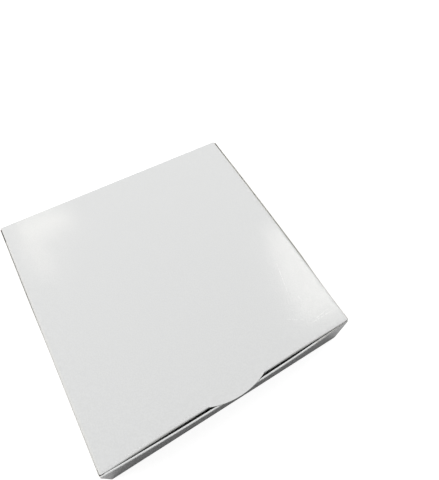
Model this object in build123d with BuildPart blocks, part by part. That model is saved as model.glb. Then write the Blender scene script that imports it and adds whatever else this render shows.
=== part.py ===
from build123d import *
import math
import os

# Pastry box: a square folding carton with a tuck-in lid, and the gold foil tray that lies in it.
# Millimetres, +Z up, front towards -Y. The origin is on the underside, at the middle of the floor.

# Carton: one sheet of coated board
box_width = 250.0
box_depth = 254.0
box_height = 50.0  # from the underside to the top of the closed lid
board = 0.5  # thickness of the sheet
crease_radius = 0.65  # radius of a fold, at the middle of the sheet

# Base of the carton
wall_drop = 0.5  # the side walls end this far below the top of the lid
front_drop = 0.3  # gap between the rolled top of the front wall and the thumb tab
lock_play = 0.1  # room on each side of a corner flap inside the double front wall
roll_share = 0.9  # how far the front wall's roll goes towards a full half circle
flap_length = 42.0  # corner flaps of the side walls
flap_relief = 1.5  # a corner flap ends this far from the floor and from the top of its wall
panel_play = 0.2  # the front and back walls end this far inside the side walls
tongue_width = 38.0  # two tongues lock the front wall's inner layer into the floor
tongue_spacing = 130.0
tongue_play = 0.3

# Lid
lid_play = 0.5  # gap between a side flap of the lid and the side wall
side_flap_depth = 26.0
side_flap_front_inset = 5.0
side_flap_back_inset = 18.0
side_flap_taper = 9.0  # how much each end of a side flap draws in towards its lower edge
side_flap_corner = 6.0
tuck_gap = 1.6  # gap between the tuck flap and the front wall, for the swing of the flap
tuck_depth = 22.0
tuck_inset = 4.0  # the tuck flap ends this far from each corner of the lid
tuck_corner = 12.0
tab_width = 55.0
tab_reach = 5.5

# Gold tray: one sheet of foil-faced card
tray_board = 0.7
tray_crease = 0.8  # radius of a fold, at the middle of the sheet
tray_play = 1.0  # gap to the carton's flaps and back wall
hem_width = 14.0  # strip folded back under the front edge
hem_gap = 0.2
tray_wall_height = 28.0
tray_wall_round = 26.0  # rounded ends of the side walls
handle_height = 55.0  # along the card, from its fold
handle_end_height = 11.0
handle_inset = 2.0
handle_lean = 35.0  # degrees from upright, towards the front
hole_width = 86.0
hole_height = 22.0
hole_low = 15.5  # from the fold to the lower edge of the hand hole
hole_wave = 3.6  # depth of the two waves between the finger bays
hole_end = 9.0  # length of each rounded end
hole_wave_share = 0.5  # where a wave lies between the middle and the end bays

overrun = 2.0  # cutters reach this far past what they cut

# Levels and planes of the carton, at the middle of the sheet unless named as a face
half_board = board / 2
lid_underside = box_height - board
lid_level = box_height - half_board
side_top = box_height - wall_drop
side_x = box_width / 2 - half_board
back_y = box_depth / 2 - half_board
front_y = -back_y
roll_pitch = 2 * board + 2 * lock_play
inner_front_y = front_y + roll_pitch
roll_level = lid_underside - front_drop - half_board
roll_radius = roll_share * roll_pitch / 2
inner_front_low = board + tongue_play
front_flap_y = front_y + roll_pitch / 2
back_flap_y = back_y - board
panel_half_width = side_x - half_board - panel_play
wall_start = front_flap_y + crease_radius
wall_end = back_flap_y - crease_radius

# Base: the floor and side walls are one channel, the floor with the back and the double front wall another
with BuildPart() as carton_base:
    with BuildSketch(Plane.XZ.offset(-wall_end)):
        with BuildLine():
            FilletPolyline(
                (-side_x, side_top),
                (-side_x, half_board),
                (side_x, half_board),
                (side_x, side_top),
                radius=crease_radius,
            )
        trace(line_width=board)
    extrude(amount=wall_end - wall_start)

    with BuildSketch(Plane.YZ):
        with BuildLine():
            FilletPolyline(
                (back_y, lid_underside),
                (back_y, half_board),
                (front_y, half_board),
                (front_y, roll_level),
                (inner_front_y, roll_level),
                (inner_front_y, inner_front_low),
                radius=[crease_radius, crease_radius, roll_radius, roll_radius],
            )
        trace(line_width=board)
    extrude(amount=panel_half_width, both=True)

    # Corner flaps turn in from the side walls: into the double front wall, and onto the back wall
    with BuildSketch(Plane.XY.offset(flap_relief)):
        with BuildLine():
            FilletPolyline(
                (side_x - flap_length, front_flap_y),
                (side_x, front_flap_y),
                (side_x, back_flap_y),
                (side_x - flap_length, back_flap_y),
                radius=crease_radius,
            )
        trace(line_width=board)
        mirror(about=Plane.YZ)
    extrude(amount=side_top - 2 * flap_relief)

    # Slots in the floor, and the tongues that hold the inner layer of the front wall in them
    with BuildSketch(Plane.XY):
        with Locations((0, inner_front_y)):
            with GridLocations(tongue_spacing, 0, 2, 1):
                Rectangle(tongue_width + 2 * tongue_play, board + 2 * tongue_play)
    extrude(amount=board, mode=Mode.SUBTRACT)
    with BuildSketch(Plane.XY):
        with Locations((0, inner_front_y)):
            with GridLocations(tongue_spacing, 0, 2, 1):
                Rectangle(tongue_width, board)
    extrude(amount=inner_front_low + board)

# Planes of the lid
lid_x = side_x - half_board - lid_play - half_board
lid_width = 2 * lid_x + board
hinge_y = box_depth / 2
tuck_y = inner_front_y + half_board + tuck_gap + half_board
tuck_face = tuck_y - half_board
tuck_top = lid_level - crease_radius
tuck_low = box_height - tuck_depth
tuck_width = lid_width - 2 * tuck_inset
panel_front = tuck_y + crease_radius
side_flap_low = box_height - side_flap_depth
side_flap_front = tuck_y + side_flap_front_inset
side_flap_back = hinge_y - side_flap_back_inset
tab_half = tab_width / 2

# Lid: the panel, its three flaps and the thumb tab, which is cut out of the tuck flap
with BuildPart() as lid:
    with BuildSketch(Plane.XZ.offset(-side_flap_back)):
        with BuildLine():
            FilletPolyline(
                (-lid_x, side_flap_low),
                (-lid_x, lid_level),
                (lid_x, lid_level),
                (lid_x, side_flap_low),
                radius=crease_radius,
            )
        trace(line_width=board)
    extrude(amount=side_flap_back - side_flap_front)
    with BuildSketch(Plane.YZ) as flap_outline:
        with BuildLine():
            Polyline(
                (side_flap_front, box_height),
                (side_flap_back, box_height),
                (side_flap_back, tuck_top),
                (side_flap_back - side_flap_taper, side_flap_low),
                (side_flap_front + side_flap_taper, side_flap_low),
                (side_flap_front, tuck_top),
                close=True,
            )
        make_face()
        fillet(flap_outline.vertices().group_by(Axis.Y)[0], side_flap_corner)
    extrude(amount=box_width, both=True, mode=Mode.INTERSECT)

    # The panel behind the side flaps, in front of them, at the front corners, and out to the thumb tab
    with BuildSketch(Plane.XY.offset(lid_underside)):
        with Locations((0, (side_flap_back + hinge_y) / 2)):
            Rectangle(lid_width, hinge_y - side_flap_back)
        with Locations((0, (panel_front + side_flap_front) / 2)):
            Rectangle(lid_width, side_flap_front - panel_front)
        with Locations((0, (tuck_face + panel_front) / 2)):
            with GridLocations(lid_width - tuck_inset, 0, 2, 1):
                Rectangle(tuck_inset, panel_front - tuck_face)
        with BuildLine():
            Polyline(
                (tab_half, tuck_face),
                (tab_half, panel_front),
                (-tab_half, panel_front),
                (-tab_half, tuck_face),
            )
            ThreePointArc((-tab_half, tuck_face), (0, tuck_face - tab_reach), (tab_half, tuck_face))
        make_face()
    extrude(amount=board)

    # The fold of the tuck flap, on both sides of the tab
    with BuildSketch(Plane.YZ.offset(tab_half)):
        with BuildLine():
            FilletPolyline(
                (panel_front + crease_radius, lid_level),
                (tuck_y, lid_level),
                (tuck_y, tuck_top - crease_radius),
                radius=crease_radius,
            )
        trace(line_width=board)
    extrude(amount=tuck_width / 2 - tab_half)
    mirror(about=Plane.YZ)

    # The tuck flap, with the notch that the tab leaves
    with BuildSketch(Plane.XZ.offset(-tuck_y - half_board)) as tuck_flap:
        with Locations((0, (tuck_top + tuck_low) / 2)):
            Rectangle(tuck_width, tuck_top - tuck_low)
        fillet(tuck_flap.vertices().group_by(Axis.Y)[0], tuck_corner)
        with BuildLine():
            Polyline(
                (-tab_half, tuck_top),
                (-tab_half, tuck_top + overrun),
                (tab_half, tuck_top + overrun),
                (tab_half, tuck_top),
            )
            ThreePointArc((-tab_half, tuck_top), (0, tuck_top - tab_reach), (tab_half, tuck_top))
        make_face(mode=Mode.SUBTRACT)
    extrude(amount=board)

# Planes of the gold tray
half_card = tray_board / 2
hem_level = board + half_card
tray_level = hem_level + tray_board + hem_gap
hem_radius = roll_share * (tray_level - hem_level) / 2
tray_x = lid_x - half_board - tray_play - half_card
tray_front = tuck_y + half_board + tray_play + half_card
tray_back = back_flap_y - half_board - tray_play - half_card
tray_wall_top = tray_level + tray_wall_height
handle_half = tray_x - tray_crease - handle_inset
lean = math.radians(handle_lean)
handle_up = Vector(0, -math.sin(lean), math.cos(lean))
handle_plane = Plane((0, tray_back, tray_level), x_dir=(1, 0, 0), z_dir=(0, -math.cos(lean), -math.sin(lean)))
handle_tip = handle_plane.origin + handle_up * (handle_height + overrun)
handle_fold = tray_crease / math.tan((math.pi / 2 - lean) / 2)
hole_top = hole_low + hole_height
bay_x = hole_width / 2 - hole_end
wave_x = hole_wave_share * bay_x

# Gold tray: side walls with rounded ends, then the hemmed base with the handle
with BuildPart() as gold_tray:
    with BuildSketch(Plane.XZ.offset(handle_fold - tray_back)):
        with BuildLine():
            FilletPolyline(
                (-tray_x, tray_wall_top),
                (-tray_x, tray_level),
                (tray_x, tray_level),
                (tray_x, tray_wall_top),
                radius=tray_crease,
            )
        trace(line_width=tray_board)
    extrude(amount=tray_back - handle_fold - tray_front)
    with BuildSketch(Plane.YZ) as wall_outline:
        with Locations(((tray_front + tray_back - handle_fold) / 2, tray_wall_top / 2)):
            Rectangle(tray_back - handle_fold - tray_front, tray_wall_top)
        fillet(wall_outline.vertices().group_by(Axis.Y)[-1], tray_wall_round)
    extrude(amount=box_width, both=True, mode=Mode.INTERSECT)

    with BuildSketch(Plane.YZ):
        with BuildLine():
            FilletPolyline(
                (tray_front + hem_width, hem_level),
                (tray_front, hem_level),
                (tray_front, tray_level),
                (tray_back, tray_level),
                (handle_tip.Y, handle_tip.Z),
                radius=[hem_radius, hem_radius, tray_crease],
            )
        trace(line_width=tray_board)
    extrude(amount=handle_half, both=True)

    # The handle's arch, and the hand hole with its three finger bays
    with BuildSketch(handle_plane):
        with Locations((0, handle_end_height + handle_height / 2)):
            Rectangle(2 * handle_half + tray_board, handle_height)
        with BuildLine():
            Line((handle_half, handle_end_height), (-handle_half, handle_end_height))
            ThreePointArc(
                (-handle_half, handle_end_height),
                (0, handle_height),
                (handle_half, handle_end_height),
            )
        make_face(mode=Mode.SUBTRACT)
    extrude(amount=tray_board, both=True, mode=Mode.SUBTRACT)
    with BuildSketch(handle_plane):
        with BuildLine():
            Line((-bay_x, hole_low), (bay_x, hole_low))
            ThreePointArc(
                (bay_x, hole_low),
                (hole_width / 2, (hole_low + hole_top) / 2),
                (bay_x, hole_top),
            )
            Spline(
                (bay_x, hole_top),
                (wave_x, hole_top - hole_wave),
                (0, hole_top),
                (-wave_x, hole_top - hole_wave),
                (-bay_x, hole_top),
                tangents=[(-1, 0), (-1, 0)],
            )
            ThreePointArc(
                (-bay_x, hole_top),
                (-hole_width / 2, (hole_low + hole_top) / 2),
                (-bay_x, hole_low),
            )
        make_face()
    extrude(amount=tray_board, both=True, mode=Mode.SUBTRACT)

os.makedirs("parts", exist_ok=True)
carton_base.part.label = "carton_base"
lid.part.label = "lid"
gold_tray.part.label = "gold_tray"
export_step(carton_base.part, "parts/carton_base.step")
export_step(lid.part, "parts/lid.step")
export_step(gold_tray.part, "parts/gold_tray.step")
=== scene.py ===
# %% [markdown]
# # A white pastry box
# The box is one sheet of thin coated board, creased and folded, with a lid that hinges at the back and
# tucks in at the front. A tray of gold foil card lies inside it. Cubes with bevelled edges would give the
# outline, but not the look of card: thin rims, round creases, and walls that are double only where the
# board is. So each piece is made the way it is folded. It starts as a flat grid, is spun round each
# crease, extruded into each flap, pushed a little out of true, and gets its thickness last.

# %% Load the frame
import math
import bmesh
import bpy
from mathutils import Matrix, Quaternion, Vector


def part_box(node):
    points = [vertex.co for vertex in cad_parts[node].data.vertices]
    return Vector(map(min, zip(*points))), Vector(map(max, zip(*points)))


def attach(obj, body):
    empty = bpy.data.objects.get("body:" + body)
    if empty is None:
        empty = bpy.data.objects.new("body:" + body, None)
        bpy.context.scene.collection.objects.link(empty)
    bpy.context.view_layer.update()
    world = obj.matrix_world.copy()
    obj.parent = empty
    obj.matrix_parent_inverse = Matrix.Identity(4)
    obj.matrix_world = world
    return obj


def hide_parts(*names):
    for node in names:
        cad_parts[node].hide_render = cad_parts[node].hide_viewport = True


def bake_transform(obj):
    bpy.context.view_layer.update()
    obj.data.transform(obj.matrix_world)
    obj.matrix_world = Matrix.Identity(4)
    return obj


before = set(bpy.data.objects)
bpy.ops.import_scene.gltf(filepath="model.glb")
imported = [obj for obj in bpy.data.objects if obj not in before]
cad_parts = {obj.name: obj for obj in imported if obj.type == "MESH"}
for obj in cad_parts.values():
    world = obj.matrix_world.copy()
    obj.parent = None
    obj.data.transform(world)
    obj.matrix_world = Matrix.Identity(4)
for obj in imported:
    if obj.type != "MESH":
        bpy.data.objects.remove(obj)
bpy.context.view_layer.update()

mm = 0.001
base_low, base_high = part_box("carton_base")
lid_low, lid_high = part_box("lid")
tray_low, tray_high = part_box("gold_tray")

# %% [markdown]
# ## The camera
# The camera is close to the box and looks down over its front left corner, a little tilted, so the far
# edges shrink and the front wall is only a narrow band. Its place, turn and lens come from the places
# of the lid's corners and the base's front corners in the picture. It comes first, because every other
# choice is judged through it.

# %% Camera
camera_place = Vector((-61.9, -154.6, 410.4)) * mm
camera_turn = (29.42, -3.5, -30.91)  # degrees about X, Y and Z
camera_lens = 30.41  # mm, on the standard 36 mm sensor

bpy.ops.object.camera_add(location=camera_place, rotation=[math.radians(turn) for turn in camera_turn])
camera = bpy.context.object
camera.name = "camera"
camera.data.lens = camera_lens
bpy.context.scene.camera = camera
print("camera at", [round(place / mm) for place in camera.location], "mm")

# %% [markdown]
# ## Helpers for folding
# A folded sheet needs four moves: lay it flat, pick some of its open edges by their place, turn them
# round a crease, and draw them out into the next panel. Spin does the crease and extrude the panel, and
# both leave the new edge selected, so the moves follow each other as they do on a bench.

# %% Lay a sheet
tiny = 0.01 * mm  # how near a place counts as the same place


def lines(stops, pitch):
    """Places from the first stop to the last, through every stop, at about the given pitch."""
    places = [stops[0]]
    for start, end in zip(stops, stops[1:]):
        count = max(1, round(abs(end - start) / pitch))
        places += [start + (end - start) * step / count for step in range(1, count + 1)]
    return places


def both_sides(stops):
    """The stops on the right half of a sheet, with their mirror images on the left."""
    return [-stop for stop in reversed(stops)] + stops


def lay_sheet(name, columns, rows, level):
    """Add a flat grid with its lines at the given places, and open it in edit mode."""
    bpy.ops.object.select_all(action="DESELECT")
    bpy.ops.mesh.primitive_grid_add(x_subdivisions=len(columns) - 1, y_subdivisions=len(rows) - 1, size=1)
    sheet = bpy.context.object
    sheet.name = sheet.data.name = name
    for vertex in sheet.data.vertices:
        column = round((vertex.co.x + 0.5) * (len(columns) - 1))
        row = round((vertex.co.y + 0.5) * (len(rows) - 1))
        vertex.co = (columns[column], rows[row], level)
    bpy.ops.object.mode_set(mode="EDIT")
    print(name, "starts with", len(columns), "by", len(rows), "lines")
    return sheet


# %% Pick, fold, draw out and cut
right, away, up = Vector((1, 0, 0)), Vector((0, 1, 0)), Vector((0, 0, 1))


def pick_edges(sheet, test):
    """Select the open edges whose middle passes a test."""
    bpy.ops.mesh.select_mode(type="EDGE")
    bpy.ops.mesh.select_all(action="DESELECT")
    cells = bmesh.from_edit_mesh(sheet.data)
    for edge in cells.edges:
        edge.select_set(edge.is_boundary and test((edge.verts[0].co + edge.verts[1].co) / 2))
    bmesh.update_edit_mesh(sheet.data)


def fold(centre, axis, degrees, steps=6):
    """Turn the picked edges round a crease. Spin counts its angle the other way round."""
    bpy.ops.mesh.spin(steps=steps, angle=-math.radians(degrees), center=centre, axis=axis)


def draw_out(direction, stops, pitch):
    """Extrude the picked edges along a direction, in rows through the given stops."""
    places = lines(stops, pitch)
    for start, end in zip(places, places[1:]):
        step = direction * abs(end - start)
        bpy.ops.mesh.extrude_region_move(TRANSFORM_OT_translate={"value": step})


def delete_faces(sheet, test):
    """Cut out the faces whose centre passes a test."""
    bpy.ops.mesh.select_mode(type="FACE")
    bpy.ops.mesh.select_all(action="DESELECT")
    cells = bmesh.from_edit_mesh(sheet.data)
    for face in cells.faces:
        face.select_set(test(face.calc_center_median()))
    bmesh.update_edit_mesh(sheet.data)
    bpy.ops.mesh.delete(type="FACE")


def close_sheet(sheet, inside=False):
    """Merge points that meet, turn all faces the same way, and leave edit mode."""
    bpy.ops.mesh.select_all(action="SELECT")
    bpy.ops.mesh.remove_doubles(threshold=tiny)
    bpy.ops.mesh.normals_make_consistent(inside=inside)
    bpy.ops.object.mode_set(mode="OBJECT")
    print(sheet.name, "is folded, with", len(sheet.data.polygons), "faces")


# %% [markdown]
# ## The base of the carton
# The base is the floor with four walls. The front wall is double: the board rolls over at the top and
# comes down again inside, with two tongues that lock into slots in the floor. The side walls turn in
# corner flaps, which sit inside the double front wall and lie against the back wall. The grid is the
# outer face of the board, so the thickness will grow inwards.

# %% Lay the floor
crease = 1.1 * mm  # outer radius of a fold
half_width = base_high.x
front, back, side_top = base_low.y, base_high.y, base_high.z
floor_x, floor_front, floor_back = half_width - crease, front + crease, back - crease
front_gap, back_gap = 0.6 * mm, 0.55 * mm  # from the floor's ends to those of the side walls
wall_front, wall_back = floor_front + front_gap, floor_back - back_gap
tongue_in, tongue_out, tongue_play = 46 * mm, 84 * mm, 0.3 * mm
slot_in, slot_out, slot_depth = tongue_in - tongue_play, tongue_out + tongue_play, 2 * mm
slot_back = front + slot_depth
fine, coarse = 2.5 * mm, 6 * mm  # spacing of the grid's lines

base_columns = lines(both_sides([slot_in, tongue_in, tongue_out, slot_out, floor_x]), fine)
base_rows = lines([floor_front, wall_front, slot_back, wall_back, floor_back], coarse)
base = lay_sheet("carton_base_sheet", base_columns, base_rows, 0)

# %% Fold the front and back walls
roll_radius, roll_drop = 0.85 * mm, 0.3 * mm  # the rolled top edge lies a little below the side walls
roll_level = side_top - roll_drop - roll_radius
inner_low = 0.8 * mm  # the inner layer ends here, just above the floor
lid_top = lid_high.z
fold_low = lid_top - crease  # the back wall ends here, where the lid's own crease begins

pick_edges(base, lambda spot: spot.y < floor_front + tiny)
fold((0, floor_front, crease), right, -90)
draw_out(up, [crease, roll_level], fine)
fold((0, front + roll_radius, roll_level), right, -180, steps=10)
draw_out(-up, [roll_level, inner_low], fine)
pick_edges(base, lambda spot: spot.y < slot_back and abs(spot.z - inner_low) < tiny
           and tongue_in < abs(spot.x) < tongue_out)
draw_out(-up, [inner_low, 0], inner_low)

pick_edges(base, lambda spot: spot.y > floor_back - tiny and spot.z < tiny)
fold((0, floor_back, crease), right, 90)
draw_out(up, [crease, fold_low], fine)
front_and_back_count = len(bmesh.from_edit_mesh(base.data).verts)
print("floor, front and back wall have", front_and_back_count, "points")

# %% Fold the side walls and their corner flaps
flap_relief, flap_length = 1.5 * mm, 42 * mm  # a flap is a little lower than its wall at both edges

for side in (-1, 1):
    pick_edges(base, lambda spot: spot.x * side > floor_x - tiny and spot.z < tiny
               and wall_front < spot.y < wall_back)
    fold((side * floor_x, 0, crease), away, -90 * side)
    draw_out(up, [crease, flap_relief, side_top - flap_relief, side_top], fine)
    for end, end_y in ((-1, wall_front), (1, wall_back)):
        pick_edges(base, lambda spot: spot.x * side > half_width - tiny and abs(spot.y - end_y) < tiny
                   and flap_relief < spot.z < side_top - flap_relief)
        fold((side * floor_x, end_y, 0), up, 90 * side * end)
        draw_out(-side * right, [crease, flap_length], fine)

delete_faces(base, lambda spot: spot.z < tiny and spot.y < slot_back and slot_in < abs(spot.x) < slot_out)
close_sheet(base)

# %% [markdown]
# ## How the base has settled
# Card is never quite flat. The front wall stands upright in its middle, where the tuck flap holds it, and
# leans in towards both corners. Its right end has slipped in under the lid and sunk a little. The right
# side wall bulges out with the lid's flap behind it, and both side walls press against the lid at the
# front. Hooks or proportional editing could pull these about, but a formula for each push is easier to
# read and to change.

# %% How the front wall leans
front_bow, front_lean = 0.6 * mm, 2.6 * mm  # out at the middle of the top, and in at its corners
right_tuck, right_drop = 0.65 * mm, 2.2 * mm  # how far the right end slips in under the lid, and sinks
right_end_from, right_end_to = 0.4 * half_width, 0.9 * half_width


def smooth_step(start, end, value):
    """0 before start, 1 after end, and an even slope between."""
    share = min(1, max(0, (value - start) / (end - start)))
    return share * share * (3 - 2 * share)


def right_end(x):
    """1 at the right end of the front wall, 0 over most of its length."""
    return smooth_step(right_end_from, right_end_to, x)


def front_push(x, z):
    """How far the front wall stands behind its true plane, at a place on it."""
    lean = front_lean * (x / half_width) ** 2 - front_bow
    return (lean + right_tuck * right_end(x)) * z / side_top


print("front wall leans in", round(front_push(half_width, side_top) / mm, 1), "mm at its right corner")

# %% How the side walls lean
side_bulge, bulge_middle, bulge_half = 1.0 * mm, 15 * mm, 115 * mm
left_pinch, right_pinch = (0.15 * mm, 0.66 * mm), (-0.4 * mm, 0.66 * mm)  # lean at the back, at the front
left_pinch_from, left_pinch_to = 0.4 * half_width, -0.2 * half_width
right_pinch_from, right_pinch_to = -0.3 * half_width, -0.7 * half_width
wall_bend = 1.5  # a side wall bends more towards its top than a stiff one, for which this is 1


def between(ends, share):
    """The value at a share of the way between two ends."""
    return ends[0] + (ends[1] - ends[0]) * share


def right_bulge(y):
    """How far the right side stands out at the top, in a shallow arc."""
    return side_bulge * max(0, 1 - ((y - bulge_middle) / bulge_half) ** 2)


def side_pinch(x, y, z):
    """How far a side wall leans in to the lid, at a place on it."""
    if x > 0:
        lean = between(right_pinch, smooth_step(right_pinch_from, right_pinch_to, y))
    else:
        lean = between(left_pinch, smooth_step(left_pinch_from, left_pinch_to, y))
    return lean * (z / side_top) ** wall_bend


print("right wall stands out", round(right_bulge(bulge_middle) / mm, 1), "mm at its middle")

# %% Push the walls out of true
lean_fade = 35 * mm  # how far along a side wall the lean of the front corner still shows

for vertex in base.data.vertices:
    x, y, z = vertex.co
    vertex.co.y += front_push(x, z) * (1 - smooth_step(wall_front, wall_front + lean_fade, y))
    if vertex.index < front_and_back_count and y < wall_front:
        vertex.co.z -= right_drop * right_end(x) * z / side_top
    if vertex.index >= front_and_back_count:
        vertex.co.x -= math.copysign(1, x) * side_pinch(x, y, z)
        if x > 0:
            vertex.co.x += right_bulge(y) * (z / side_top) ** wall_bend
widest = max(vertex.co.x for vertex in base.data.vertices)
print("settled base reaches", round((widest - half_width) / mm, 1), "mm past its true right side")

# %% [markdown]
# ## The lid
# The lid is the panel on top with a flap down each side, a tuck flap at the front, and a thumb tab. The
# tab is cut from the tuck flap, so the flap has a notch of the same curve under it. The flap's two side
# stretches are folded from the panel, and the stretch under the tab is bridged between them. Where no
# flap hangs from the panel, it ends in a narrow strip with its own cut edge.

# %% Lay the panel
lid_half, hinge_y = lid_high.x, lid_high.y
tab_reach, tab_half = 5.5 * mm, 27.5 * mm
tuck_face = lid_low.y + tab_reach
panel_x, panel_front, panel_back = lid_half - crease, tuck_face + crease, hinge_y - crease
tuck_inset, tuck_depth = 4 * mm, 22 * mm
tuck_half, tuck_low = lid_half - tuck_inset, lid_top - tuck_depth
tuck_end = 2 * mm  # width of the tuck flap's last column, which keeps its round corner even
flap_inset_front, flap_inset_back = 5.25 * mm, 18 * mm
flap_front, flap_back = tuck_face + flap_inset_front, hinge_y - flap_inset_back

lid_columns = lines(both_sides([tab_half, tuck_half - tuck_end, tuck_half, panel_x]), fine)
lid_rows = lines([panel_front, flap_front, flap_back, panel_back], fine)
lid = lay_sheet("lid_sheet", lid_columns, lid_rows, lid_top)

# %% Fold the tuck flap and draw out the thumb tab
bare_edge = 0.6 * mm  # width of the strip where no flap hangs from the panel


def on_front_edge(spot):
    """Whether a place lies on the panel's front edge."""
    return spot.y < panel_front + tiny and spot.z > lid_top - tiny


pick_edges(lid, lambda spot: on_front_edge(spot) and tab_half < abs(spot.x) < tuck_half)
fold((0, panel_front, fold_low), right, 90)
draw_out(-up, [fold_low, tuck_low], fine)
pick_edges(lid, lambda spot: abs(abs(spot.x) - tab_half) < tiny and spot.z < fold_low)
bpy.ops.mesh.bridge_edge_loops(number_cuts=round(2 * tab_half / fine) - 1, interpolation="LINEAR")

pick_edges(lid, lambda spot: on_front_edge(spot) and abs(spot.x) < tab_half)
draw_out(-away, [0, crease, crease + tab_reach], fine)
pick_edges(lid, lambda spot: on_front_edge(spot) and abs(spot.x) > tuck_half)
draw_out(-away, [0, bare_edge], bare_edge)
print("tuck flap is", round(2 * tuck_half / mm), "mm wide and", round(tuck_depth / mm), "mm deep")

# %% Fold the side flaps
flap_low = lid_low.z
flap_taper, flap_corner = 9 * mm, 6 * mm

for side in (-1, 1):
    pick_edges(lid, lambda spot: spot.x * side > panel_x - tiny and flap_front < spot.y < flap_back)
    fold((side * panel_x, 0, fold_low), away, 90 * side)
    draw_out(-up, [fold_low, flap_low + flap_corner, flap_low], fine / 2)
    pick_edges(lid, lambda spot: abs(spot.x * side - panel_x) < tiny and spot.z > lid_top - tiny
               and spot.y > panel_front - tiny)
    draw_out(side * right, [0, bare_edge], bare_edge)
bpy.ops.object.mode_set(mode="OBJECT")
print("side flaps hang down", round((lid_top - flap_low) / mm), "mm")

# %% [markdown]
# ## Trim the lid's flaps and let it settle
# The flaps come out of the extrusion as plain rectangles. Their outlines are drawn by sliding each row or
# column to the curve that ends it, which keeps the grid even. Then the panel is domed by less than a
# millimetre, its right edge bulges with the wall, and the flaps give way where the walls lean in on them.

# %% Trim the flaps
tuck_corner = 12 * mm


def tab_curve(x):
    """How far the thumb tab reaches past its roots, along an arc."""
    radius = (tab_half ** 2 + tab_reach ** 2) / (2 * tab_reach)
    return math.sqrt(radius ** 2 - x ** 2) - radius + tab_reach


def round_off(place, corner):
    """How far an outline draws in, at a place that reaches into a round corner."""
    return corner - math.sqrt(corner ** 2 - min(corner, max(0, place)) ** 2)


def on_side_flap(x, z):
    """Whether a place lies on one of the lid's side flaps, below its fold."""
    return abs(x) > lid_half - tiny and z < fold_low + tiny


for vertex in lid.data.vertices:
    x, y, z = vertex.co
    if y < tuck_face - tiny:
        vertex.co.y = tuck_face - (tuck_face - y) / tab_reach * tab_curve(x)
    elif y < tuck_face + tiny and z < fold_low + tiny:
        top = fold_low - (tab_curve(x) if abs(x) < tab_half else 0)
        low = tuck_low + round_off(abs(x) - tuck_half + tuck_corner, tuck_corner)
        vertex.co.z = low + (z - tuck_low) / (fold_low - tuck_low) * (top - low)
    elif on_side_flap(x, z):
        draw_in = flap_taper * (fold_low - z) / (fold_low - flap_low)
        draw_in += round_off(flap_low + flap_corner - z, flap_corner)
        middle = (flap_front + flap_back) / 2
        vertex.co.y = middle + (y - middle) * (1 - 2 * draw_in / (flap_back - flap_front))
tab_tip = min(vertex.co.y for vertex in lid.data.vertices)
print("thumb tab ends at", round(tab_tip / mm, 1), "mm, the frame's at", round(lid_low.y / mm, 1))

# %% Settle the lid
lid_dome = 0.6 * mm
tuck_room = 1.3 * mm  # how far the front wall may come in before it meets the tuck flap
flap_room = 0.45 * mm  # how far a side wall may come in before it meets the lid's side flap
panel_middle, panel_half = (panel_front + panel_back) / 2, (panel_back - panel_front) / 2

for vertex in lid.data.vertices:
    x, y, z = vertex.co
    across, along = x / lid_half, (y - panel_middle) / panel_half
    if z > fold_low:
        vertex.co.z += lid_dome * max(0, 1 - across ** 2) * max(0, 1 - along ** 2)
    vertex.co.x += right_bulge(y) * smooth_step(0, lid_half, x)
    if on_side_flap(x, z):
        vertex.co.x -= math.copysign(1, x) * max(0, side_pinch(x, y, z) - flap_room)
    if y < panel_front and abs(x) > tab_half:
        give = max(0, front_push(x, z) - tuck_room)
        vertex.co.y += give * smooth_step(fold_low, fold_low - crease, z)

bpy.ops.object.mode_set(mode="EDIT")
close_sheet(lid)  # the tab's rows meet in one point at each of its roots

# %% [markdown]
# ## The crease between back wall and lid
# On the real box the back wall runs on into the lid through one crease. The lid turns there, so the crease
# is a narrow strip of its own: it follows the back wall at one edge and the lid at the other, and bends
# between them. It is the same spin as every other fold, without the flat row that it started from.

# %% Fold the hinge crease
hinge = lay_sheet("lid_crease_sheet", lid_columns, [panel_back - crease, panel_back], lid_top)
pick_edges(hinge, lambda spot: spot.y > panel_back - tiny)
fold((0, panel_back, fold_low), right, -90, steps=8)
delete_faces(hinge, lambda spot: spot.y < panel_back and spot.z > lid_top - tiny)
close_sheet(hinge)

# %% [markdown]
# ## The gold tray
# The tray is a second sheet: a base with a hem under its front edge, a low wall at each side with rounded
# ends, and at the back an arched handle with a hand hole, which leans forward under the closed lid. Here
# the grid is the gold face, which is the inside of every fold, so the thickness will grow downwards.

# %% Lay the tray's base
card = 0.7 * mm
inner_crease = 0.45 * mm  # inner radius of a fold
tray_face = 2.1 * mm  # level of the gold face, above the hem and the carton's floor
tray_fold_level = tray_face + inner_crease
tray_x = tray_high.x - card - inner_crease
hem_radius = 0.78 * mm
tray_front = tray_low.y + hem_radius
handle_tip, handle_tangent = 124.65 * mm, 1.54 * mm  # tip of the handle's fold, and from there to flat card
tray_back = handle_tip - handle_tangent
handle_gap = 2 * mm  # between the handle and the side walls
handle_half = tray_x - handle_gap
hole_half, bay_x = 43 * mm, 34 * mm  # ends of the hand hole and of the straight stretch between them
tray_wall_round = 26 * mm
tray_fine, tray_coarse = 1.5 * mm, 4 * mm  # spacing of the grid's lines

tray_columns = lines(both_sides([bay_x, hole_half, handle_half, tray_x]), tray_fine)
tray_stops = [tray_front, tray_front + tray_wall_round, tray_back - tray_wall_round, tray_back]
tray = lay_sheet("gold_tray_sheet", tray_columns, lines(tray_stops, tray_coarse), tray_face)

# %% Fold the hem, the handle and the side walls
hem_width, hem_rows = 14 * mm, 3
handle_lean = math.radians(35)
handle_up = Vector((0, -math.sin(handle_lean), math.cos(handle_lean)))
handle_out = Vector((0, math.cos(handle_lean), math.sin(handle_lean)))
handle_foot = Vector((0, tray_back, tray_fold_level)) + inner_crease * handle_out
below_rows, hole_rows, above_rows = 6, 2, 8  # rows of the handle below, in and above its hole
handle_rows = below_rows + hole_rows + above_rows
tray_wall_top = 29.75 * mm

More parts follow.
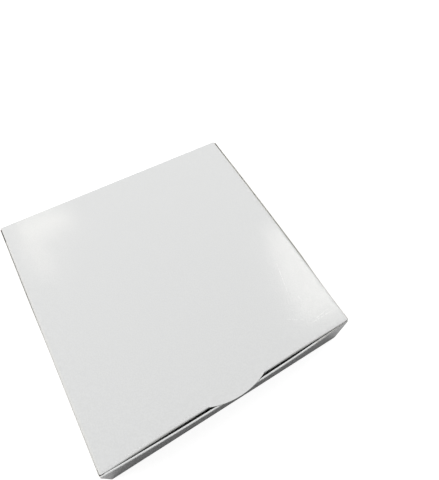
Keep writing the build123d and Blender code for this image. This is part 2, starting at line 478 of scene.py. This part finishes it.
pick_edges(tray, lambda spot: spot.y < tray_front + tiny and abs(spot.x) < handle_half)
fold((0, tray_front, tray_face - hem_radius), right, 180, steps=8)
draw_out(away, [0, hem_width], hem_width / hem_rows)

pick_edges(tray, lambda spot: spot.y > tray_back - tiny and abs(spot.x) < handle_half)
fold((0, tray_back, tray_fold_level), right, 90 + math.degrees(handle_lean))
draw_out(handle_up, [0, handle_rows * mm], mm)

for side in (-1, 1):
    pick_edges(tray, lambda spot: spot.x * side > tray_x - tiny and abs(spot.z - tray_face) < tiny)
    fold((side * tray_x, 0, tray_fold_level), away, -90 * side)
    draw_out(up, [tray_fold_level, tray_wall_top], fine)
bpy.ops.object.mode_set(mode="OBJECT")
print("tray before shaping:", len(tray.data.polygons), "faces")

# %% [markdown]
# ## The handle's arch and hand hole
# The handle left the extrusion as a plain strip with one row for each millimetre. Its rows now slide to
# three curves: the lower edge of the hand hole, the upper edge with its three finger bays, and the arch on
# top. The rows between the first two curves are cut out. A boolean would give the same hole, but with
# ragged triangles round it.

# %% The handle's curves
handle_height, handle_end_height = 55 * mm, 11 * mm
arch_rise = handle_height - handle_end_height
arch_radius = (handle_half ** 2 + arch_rise ** 2) / (2 * arch_rise)
hole_low, hole_top, hole_wave = 15.5 * mm, 37.5 * mm, 3.6 * mm
hole_middle = (hole_low + hole_top) / 2
spread_share = 0.2  # how far the rows part again beyond the hole, as a share of the arch


def arch(x):
    """Height of the handle above its fold, along an arc."""
    return handle_height - arch_radius + math.sqrt(arch_radius ** 2 - x ** 2)


def hole_edges(x):
    """Heights of the hand hole's lower and upper edge. They meet at its ends and part again outside."""
    x = abs(x)
    if x <= bay_x:
        bays = hole_wave * (1 - math.cos(2 * math.pi * x / bay_x)) / 2
        return hole_low, hole_top - bays
    if x <= hole_half:
        round_end = math.sqrt(1 - ((x - bay_x) / (hole_half - bay_x)) ** 2)
        half_height = (hole_top - hole_low) / 2 * round_end
        return hole_middle - half_height, hole_middle + half_height
    spread = spread_share * (x - hole_half) / (handle_half - hole_half)
    middle_share = hole_middle / arch(hole_half)
    return arch(x) * (middle_share - spread), arch(x) * (middle_share + spread)


print("handle rises", round(arch(0) / mm), "mm, hand hole is", round(2 * hole_half / mm), "mm wide")

# %% Shape the handle and the side walls


def row_height(x, row):
    """Height at which a row of the handle ends up, between the curves below and above it."""
    low_edge, high_edge = hole_edges(x)
    if row <= below_rows:
        return between((handle_tangent, low_edge), row / below_rows)
    if row <= below_rows + hole_rows:
        return between((low_edge, high_edge), (row - below_rows) / hole_rows)
    return between((high_edge, arch(x)), (row - below_rows - hole_rows) / above_rows)


for vertex in tray.data.vertices:
    x, y, z = vertex.co
    foot = Vector((x, handle_foot.y, handle_foot.z))
    reach = (vertex.co - foot).dot(handle_up)
    off_plane = vertex.co - foot - reach * handle_up
    if reach > mm / 2 and off_plane.length < tiny:
        vertex.co = foot + handle_up * (row_height(x, round(reach / mm)) - handle_tangent)
    elif abs(x) > tray_x + inner_crease - tiny and z > tray_fold_level - tiny:
        from_end = min(y - tray_front, tray_back - y)
        top = tray_wall_top - round_off(tray_wall_round - from_end, tray_wall_round)
        rise = (z - tray_fold_level) / (tray_wall_top - tray_fold_level)
        vertex.co.z = tray_fold_level + rise * (top - tray_fold_level)
print("tray is", round(max(vertex.co.z for vertex in tray.data.vertices) / mm, 1), "mm high at its handle")

# %% Cut the hand hole
hole_floor = tray_wall_top / 4  # the tray's base lies below this level, and the whole hole above it


def in_hand_hole(spot):
    """Whether a place lies between the hole's two edges."""
    height = (spot - handle_foot).dot(handle_up) + handle_tangent
    low_edge, high_edge = hole_edges(spot.x)
    return spot.z > hole_floor and abs(spot.x) < hole_half and low_edge < height < high_edge


bpy.ops.object.mode_set(mode="EDIT")
delete_faces(tray, in_hand_hole)
close_sheet(tray, inside=True)

# %% [markdown]
# ## Shader helpers
# Colours are written as they look, in hex, and turned to the linear values that the shader needs. One
# small function adds a node, sets it and feeds its inputs, so each finish below reads as a list of what
# makes it up. Patterns sit in Object coordinates, so a scale is one over the real size of a feature.

# %% Colours, nodes and scales


def linear(code):
    """A hex colour as linear red, green, blue and alpha."""
    channels = [int(code[place:place + 2], 16) / 255 for place in (1, 3, 5)]
    return [c / 12.92 if c <= 0.04045 else ((c + 0.055) / 1.055) ** 2.4 for c in channels] + [1]


def add_node(finish, kind, inputs, **settings):
    """Add a node to a finish, with its settings, and values or other nodes' outputs for its inputs."""
    node = finish.node_tree.nodes.new(kind)
    for name, value in settings.items():
        setattr(node, name, value)
    for socket, value in inputs.items():
        if isinstance(value, bpy.types.NodeSocket):
            finish.node_tree.links.new(value, node.inputs[socket])
        else:
            node.inputs[socket].default_value = value
    return node


def start_finish(name):
    """A new material, its shader and the Object coordinates that its patterns lie in."""
    finish = bpy.data.materials.new(name)
    finish.use_nodes = True
    place = add_node(finish, "ShaderNodeTexCoord", {}).outputs["Object"]
    return finish, finish.node_tree.nodes["Principled BSDF"], place


def feature(size):
    """The scale of a pattern whose features are this large."""
    return 1 / size


print("mid grey in linear light:", round(linear("#808080")[0], 3))

# %% Distance from a mark
endless = 1000.0  # a reach so long that it leaves its axis out


def away_from(finish, vector, middle, reach, turn=0):
    """Distance from a middle, in a reach of its own along each axis: 1 is the rim of an ellipse."""
    local = add_node(finish, "ShaderNodeMapping", {
        "Vector": vector, "Location": middle, "Rotation": (0, 0, math.radians(turn)), "Scale": reach},
        vector_type="TEXTURE")
    distance = add_node(finish, "ShaderNodeVectorMath", {0: local.outputs["Vector"]}, operation="LENGTH")
    return distance.outputs["Value"]


# %% [markdown]
# ## White coated board
# The outside of the carton is bleached board under a thin clay coating, calendered to a satin. The eye
# gets an almost even white, a sheen that shows a lamp as a soft patch, and a fine tooth with glossier
# specks. An image could hold all this, but a pattern in real millimetres stays sharp from any distance.
# Handling has left a few hairline scuffs near the lid's right front corner. They have no depth, so each is a
# long thin ellipse of whiter coating, broken up by the tooth. The whiter coating is a painted highlight for
# the glint that each scuff catches in the sheen. Along the lid's folds the coating has cracked and worn
# dull. Each folded stretch also has a narrow band of its own tint: painted light on the left fold, painted
# shade on the right fold, and deeper painted shade on the front folds.

# %% Tooth of the coating
tooth_size, tooth_depth = 1.2 * mm, 0.03 * mm  # the real tooth is finer, but would not show

coated, shader, place = start_finish("coated_white_board")
tooth = add_node(coated, "ShaderNodeTexNoise", {
    "Vector": place, "Scale": feature(tooth_size), "Detail": 0.0})
specks = add_node(coated, "ShaderNodeMapRange", {
    "Value": tooth.outputs["Fac"], "From Min": 0.4, "From Max": 0.6, "To Max": 0.6})
tint = add_node(coated, "ShaderNodeMix", {
    "Factor": specks.outputs["Result"], "A": linear("#E4E5E5"), "B": linear("#EBECEC")}, data_type="RGBA")
bump = add_node(coated, "ShaderNodeBump", {
    "Height": tooth.outputs["Fac"], "Strength": 1.0, "Distance": tooth_depth})
print("tooth of", round(tooth_size / mm, 1), "mm")

# %% Scuffs
board = 0.5 * mm  # thickness, and as deep as a scuff can be
scuff_width = 0.8 * mm
scuff_glints = [  # place of the middle on the lid, turn in degrees and length
    (102.5 * mm, -108.7 * mm, 0, 29 * mm),
    (104 * mm, -106.5 * mm, 7, 21 * mm),
    (93.5 * mm, -57.7 * mm, 75, 60 * mm),
    (78 * mm, -97.5 * mm, -32, 20 * mm),
    (96 * mm, -83 * mm, 88, 8 * mm)]

dashes = add_node(coated, "ShaderNodeMapRange", {
    "Value": tooth.outputs["Fac"], "From Min": 0.35, "From Max": 0.6})
for x, y, turn, length in scuff_glints:
    reach = away_from(coated, place, (x, y, lid_top), (length / 2, scuff_width / 2, board), turn)
    mark = add_node(coated, "ShaderNodeMapRange", {"Value": reach, "From Min": 1.0, "From Max": 0.5})
    broken = add_node(coated, "ShaderNodeMath", {
        0: mark.outputs["Result"], 1: dashes.outputs["Result"]}, operation="MULTIPLY")
    # whiter coating along each scuff: a painted highlight for the glint it catches in the sheen
    tint = add_node(coated, "ShaderNodeMix", {
        "Factor": broken.outputs["Value"], "A": tint.outputs["Result"], "B": linear("#FCFCFC")},
        data_type="RGBA")
print(len(scuff_glints), "scuff_glints")

# %% Worn folds, with painted light and shade in their tint
wear_reach, left_wear_reach = 1.6 * mm, 2.56 * mm
front_middle, front_half = (tuck_half + tab_half) / 2, (tuck_half - tab_half) / 2
fold_wear_and_painted_light = [  # middle of each fold on the lid, reach of its wear along X and Y, and its tint: painted light or painted shade
    (-lid_half, 0, left_wear_reach, endless, "#EAEAE8"),
    (lid_half, 0, wear_reach, endless, "#E0E0DE"),
    (-front_middle, tuck_face, front_half, wear_reach, "#C6C6C4"),
    (front_middle, tuck_face, front_half, wear_reach, "#C6C6C4")]

wear = 0.0
for x, y, along_x, along_y, colour in fold_wear_and_painted_light:
    reach = away_from(coated, place, (x, y, lid_top), (along_x, along_y, wear_reach))
    fold_band = add_node(coated, "ShaderNodeMapRange", {"Value": reach, "From Min": 1.0, "From Max": 0.5})
    # the band's tint is painted light on the left fold and painted shade on the right and front folds; its
    # wear also dulls the coating
    tint = add_node(coated, "ShaderNodeMix", {
        "Factor": fold_band.outputs["Result"], "A": tint.outputs["Result"], "B": linear(colour)},
        data_type="RGBA")
    most = add_node(coated, "ShaderNodeMath", {0: wear, 1: fold_band.outputs["Result"]}, operation="MAXIMUM")
    wear = most.outputs["Value"]
print(len(fold_wear_and_painted_light), "worn stretches of fold")

# %% Put the coating together
dull = add_node(coated, "ShaderNodeMapRange", {"Value": wear, "To Min": 0.14, "To Max": 0.6})
whole = add_node(coated, "ShaderNodeMath", {0: 1.0, 1: wear}, operation="SUBTRACT")
coat = add_node(coated, "ShaderNodeMath", {
    0: specks.outputs["Result"], 1: whole.outputs["Value"]}, operation="MULTIPLY")
coated.node_tree.links.new(tint.outputs["Result"], shader.inputs["Base Color"])
coated.node_tree.links.new(dull.outputs["Result"], shader.inputs["Roughness"])
coated.node_tree.links.new(coat.outputs["Value"], shader.inputs["Coat Weight"])
coated.node_tree.links.new(bump.outputs["Normal"], shader.inputs["Normal"])
shader.inputs["Coat Roughness"].default_value = 0.12
shader.inputs["IOR"].default_value = 1.5
print(coated.name, "has", len(coated.node_tree.nodes), "nodes")

# %% [markdown]
# ## Inside and cut edges
# The back of the board has no coating: it is a warmer, dull white with visible fibre. A cut edge shows the
# board's core, a little darker again. The back of the tray's card is much the same. One plain colour would
# do from far away, but close up the clouded fibre tells board from plastic, so all three share a recipe.

# %% Bare board, cut edge and card back
fibre_size, edge_fibre_size, fibre_depth = 3 * mm, 0.8 * mm, 0.03 * mm


def dull_board(name, dark, light, fibre):
    """Bare board: clouded colour, fibre in the bump and no sheen to speak of."""
    finish, shader, place = start_finish(name)
    clouds = add_node(finish, "ShaderNodeTexNoise", {
        "Vector": place, "Scale": feature(fibre), "Detail": 6.0})
    tint = add_node(finish, "ShaderNodeMix", {
        "Factor": clouds.outputs["Fac"], "A": linear(dark), "B": linear(light)}, data_type="RGBA")
    bump = add_node(finish, "ShaderNodeBump", {
        "Height": clouds.outputs["Fac"], "Strength": 0.5, "Distance": fibre_depth})
    finish.node_tree.links.new(tint.outputs["Result"], shader.inputs["Base Color"])
    finish.node_tree.links.new(bump.outputs["Normal"], shader.inputs["Normal"])
    shader.inputs["Roughness"].default_value = 0.8
    shader.inputs["IOR"].default_value = 1.45
    print(name, "with fibre of", round(fibre / mm, 1), "mm")
    return finish


uncoated = dull_board("uncoated_white_board", "#D9D8D2", "#E5E3DD", fibre_size)
board_edge = dull_board("cut_board_edge", "#D9D7D2", "#E3E1DD", edge_fibre_size)
card_back = dull_board("white_card_back", "#D2D1CC", "#DEDDD8", fibre_size)

# %% [markdown]
# ## Gold foil card
# The tray's face is aluminium foil with a gold lacquer, glued to white card. It is a metal to the eye: olive
# brown where it mirrors something dim, bright yellow where a fold catches a lamp. The card under it is not
# quite flat, which makes the reflections swim a little. Rollers leave faint streaks along the sheet. Next
# to each fold the foil has crinkled into small facets. A plain metal would look like a gold mirror, so the
# streaks, the waves and the facets each get a bump of their own, and the facets keep to the folds.

# %% Streaks, waves and crinkles
streak_width, streak_length = 1.2 * mm, 50 * mm  # real streaks are finer, but would not show
wave_size, crinkle_size, crinkle_reach = 40 * mm, 2 * mm, 5 * mm

foil, shader, place = start_finish("gold_foil_card")
along_sheet = add_node(foil, "ShaderNodeMapping", {
    "Vector": place, "Scale": (feature(streak_width), feature(streak_length), feature(streak_width))})
streaks = add_node(foil, "ShaderNodeTexNoise", {
    "Vector": along_sheet.outputs["Vector"], "Scale": 1.0, "Detail": 2.0})
waves = add_node(foil, "ShaderNodeTexNoise", {
    "Vector": place, "Scale": feature(wave_size), "Detail": 1.0})
crinkle = add_node(foil, "ShaderNodeTexNoise", {
    "Vector": place, "Scale": feature(crinkle_size), "Detail": 2.0})
mirrored = add_node(foil, "ShaderNodeVectorMath", {0: place}, operation="ABSOLUTE").outputs["Vector"]
side_fold = away_from(foil, mirrored, (tray_x, 0, tray_face), (crinkle_reach, endless, crinkle_reach))
end_fold = away_from(foil, mirrored, (0, tray_back, tray_face), (endless, crinkle_reach, crinkle_reach))
nearest = add_node(foil, "ShaderNodeMath", {0: side_fold, 1: end_fold}, operation="MINIMUM")
near_fold = add_node(foil, "ShaderNodeMapRange", {
    "Value": nearest.outputs["Value"], "From Min": 1.0, "From Max": 0.3})
facets = add_node(foil, "ShaderNodeMath", {
    0: crinkle.outputs["Fac"], 1: near_fold.outputs["Result"]}, operation="MULTIPLY")
print("foil crinkles within", round(crinkle_reach / mm), "mm of its folds")

# %% Put the foil together
wave_depth, streak_depth, facet_depth = 0.6 * mm, 0.004 * mm, 0.5 * mm

tint = add_node(foil, "ShaderNodeMix", {
    "Factor": streaks.outputs["Fac"], "A": linear("#A68D4E"), "B": linear("#B29A5A")}, data_type="RGBA")
gloss = add_node(foil, "ShaderNodeMapRange", {
    "Value": streaks.outputs["Fac"], "From Min": 0.3, "From Max": 0.7, "To Min": 0.2, "To Max": 0.26})
bump = add_node(foil, "ShaderNodeBump", {
    "Height": waves.outputs["Fac"], "Strength": 1.0, "Distance": wave_depth})
bump = add_node(foil, "ShaderNodeBump", {
    "Height": streaks.outputs["Fac"], "Strength": 1.0, "Distance": streak_depth,
    "Normal": bump.outputs["Normal"]})
bump = add_node(foil, "ShaderNodeBump", {
    "Height": facets.outputs["Value"], "Strength": 1.0, "Distance": facet_depth,
    "Normal": bump.outputs["Normal"]})
foil.node_tree.links.new(tint.outputs["Result"], shader.inputs["Base Color"])
foil.node_tree.links.new(gloss.outputs["Result"], shader.inputs["Roughness"])
foil.node_tree.links.new(bump.outputs["Normal"], shader.inputs["Normal"])
shader.inputs["Metallic"].default_value = 1.0
print(foil.name, "has", len(foil.node_tree.nodes), "nodes")

# %% [markdown]
# ## Give the sheets their thickness
# Solidify adds the other face and closes the rims. It can hand out finishes as it goes: the face that was
# modelled keeps the first, the new face takes the second, and the cut edges take the third. The folds are
# shaded smooth and the rims stay sharp. The base, the lid and the tray then ride on their bodies, in place
# of their plain solids, and the crease stays where it is.

# %% Thicken and finish
sharp_angle = math.radians(35)


def thicken(sheet, thickness, finishes):
    """Turn a folded face into a sheet of board with a finish on each side and on its edges."""
    bpy.ops.object.select_all(action="DESELECT")
    sheet.select_set(True)
    bpy.context.view_layer.objects.active = sheet
    for finish in finishes:
        sheet.data.materials.append(finish)
    bpy.ops.object.modifier_add(type="SOLIDIFY")
    solidify = sheet.modifiers[-1]
    solidify.thickness = thickness
    solidify.offset = -1
    solidify.use_even_offset = True
    solidify.use_quality_normals = True
    solidify.material_offset = 1
    solidify.material_offset_rim = 2
    bpy.ops.object.modifier_apply(modifier=solidify.name)
    bpy.ops.object.shade_smooth_by_angle(angle=sharp_angle)
    print(sheet.name, "is", round(thickness / mm, 1), "mm thick, with", len(sheet.data.polygons), "faces")


for sheet in (base, lid, hinge):
    thicken(sheet, board, (coated, uncoated, board_edge))
thicken(tray, card, (foil, card_back, card_back))

# %% Hand the sheets to the frame
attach(base, "base")
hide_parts("carton_base")
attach(lid, "lid")
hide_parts("lid")
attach(tray, "base")
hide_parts("gold_tray")
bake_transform(hinge)
print("crease bends between", round(fold_low / mm, 1), "and", round(lid_top / mm, 1), "mm above the table")

# %% [markdown]
# ## The floor
# The box stands on a plain pale table that shows white and keeps a faint shadow. A strong lamp would make
# it white too, but would burn out the white lid first. So the table is grey, and a glow that only the
# camera and mirror rays see lifts it to white. The glow is a little weaker near the box, where the lamps
# add their own light, and mirrors see it fade where the box shuts out the sky. That keeps the foot of the
# front wall dark.

# %% Floor
floor_size, floor_drop = 6, 0.1 * mm
near_glow, far_glow = 0.87, 1.0
near_end, far_start = 0.5, 1.5  # metres from the box's middle
sky_reach, sky_power = 120 * mm, 8.0  # how far the box dims the mirrored floor, and how steeply

bpy.ops.object.select_all(action="DESELECT")
bpy.ops.mesh.primitive_plane_add(size=floor_size, location=(0, 0, -floor_drop))
floor = bpy.context.object
floor.name = "floor"
table, shader, place = start_finish("white_table")
path = add_node(table, "ShaderNodeLightPath", {})
open_sky = add_node(table, "ShaderNodeAmbientOcclusion", {"Distance": sky_reach})
dimmed = add_node(table, "ShaderNodeMath", {0: open_sky.outputs["AO"], 1: sky_power}, operation="POWER")
mirrored = add_node(table, "ShaderNodeMath", {
    0: dimmed.outputs["Value"], 1: path.outputs["Is Glossy Ray"]}, operation="MULTIPLY")
seen = add_node(table, "ShaderNodeMath", {
    0: path.outputs["Is Camera Ray"], 1: path.outputs["Is Transmission Ray"]}, operation="MAXIMUM")
seen = add_node(table, "ShaderNodeMath", {
    0: seen.outputs["Value"], 1: mirrored.outputs["Value"]}, operation="MAXIMUM")
distance = add_node(table, "ShaderNodeVectorMath", {0: place}, operation="LENGTH")
level = add_node(table, "ShaderNodeMapRange", {
    "Value": distance.outputs["Value"], "From Min": near_end, "From Max": far_start,
    "To Min": near_glow, "To Max": far_glow})
glow = add_node(table, "ShaderNodeMath", {
    0: seen.outputs["Value"], 1: level.outputs["Result"]}, operation="MULTIPLY")
table.node_tree.links.new(glow.outputs["Value"], shader.inputs["Emission Strength"])
shader.inputs["Base Color"].default_value = linear("#9C9C9C")
shader.inputs["Roughness"].default_value = 0.9
shader.inputs["Emission Color"].default_value = linear("#FFFFFF")
floor.data.materials.append(table)
print("floor glows from", near_glow, "near the box to", far_glow, "far away")

# %% [markdown]
# ## The room
# The room is white all round, to the camera and in mirrors, as in a light tent. A room that lit the box as
# brightly as it looks would flatten it, so for all other rays it gives only a small share of even light,
# which fills the shadows.

# %% Room
room_light = 0.2

room = bpy.data.worlds.new("room")
bpy.context.scene.world = room
room.use_nodes = True
path = add_node(room, "ShaderNodeLightPath", {})
seen = add_node(room, "ShaderNodeMath", {
    0: path.outputs["Is Camera Ray"], 1: path.outputs["Is Glossy Ray"]}, operation="MAXIMUM")
seen = add_node(room, "ShaderNodeMath", {
    0: seen.outputs["Value"], 1: path.outputs["Is Transmission Ray"]}, operation="MAXIMUM")
strength = add_node(room, "ShaderNodeMapRange", {
    "Value": seen.outputs["Value"], "To Min": room_light, "To Max": 1.0})
background = room.node_tree.nodes["Background"]
background.inputs["Color"].default_value = linear("#FFFFFF")
room.node_tree.links.new(strength.outputs["Result"], background.inputs["Strength"])
bpy.context.scene.view_settings.view_transform = "Standard"
print("room gives", room_light, "of its white as light")

# %% [markdown]
# ## The lamps
# Two large soft lamps, on the right and on the left and both behind the front wall, light the lid evenly
# and leave the front wall in shade. They would show in the satin as hard white patches, so they are kept
# out of the gloss. Three small ones make the sheen instead: a long glow along the lid's right edge, and a
# glow in the shape of an L at its back left corner.

# %% Lamps


def hang_lamp(name, direction, distance, size, watts, roll=0, colour="#FFFFFF", sheen=True):
    """A soft rectangular lamp that looks at the box from a direction, rolled about its line of sight."""
    place = Vector(direction).normalized() * distance
    turn = place.to_track_quat("Z", "Y") @ Quaternion(up, math.radians(roll))
    bpy.ops.object.light_add(type="AREA", location=place, rotation=turn.to_euler())
    lamp = bpy.context.object
    lamp.name = name
    lamp.data.shape = "RECTANGLE"
    lamp.data.size, lamp.data.size_y = size
    lamp.data.energy = watts
    lamp.data.color = linear(colour)[:3]
    lamp.visible_glossy = sheen  # a lamp without sheen lights the box, but shows in no gloss
    print(name, "of", watts, "W at", [round(side, 2) for side in place], "m")


hang_lamp("right_lamp", (1.0, 0.16, 0.85), distance=2.0, size=(0.9, 0.9), watts=17.3, sheen=False)
hang_lamp("left_lamp", (-0.85, 0.42, 0.9), distance=2.0, size=(1.1, 1.1), watts=24.7, sheen=False)
hang_lamp("right_sheen", (0.61, 0.2, 1.0), distance=1.5, size=(0.46, 0.26), watts=1.1, roll=-32,
          colour="#FFFCF4")
hang_lamp("back_sheen", (-0.125, 0.812, 1.0), distance=1.6, size=(0.2, 0.06), watts=0.17, roll=-11,
          colour="#FFFAEC")
hang_lamp("left_sheen", (-0.193, 0.693, 1.0), distance=1.6, size=(0.07, 0.2), watts=0.1, roll=-13,
          colour="#FFFAEC")
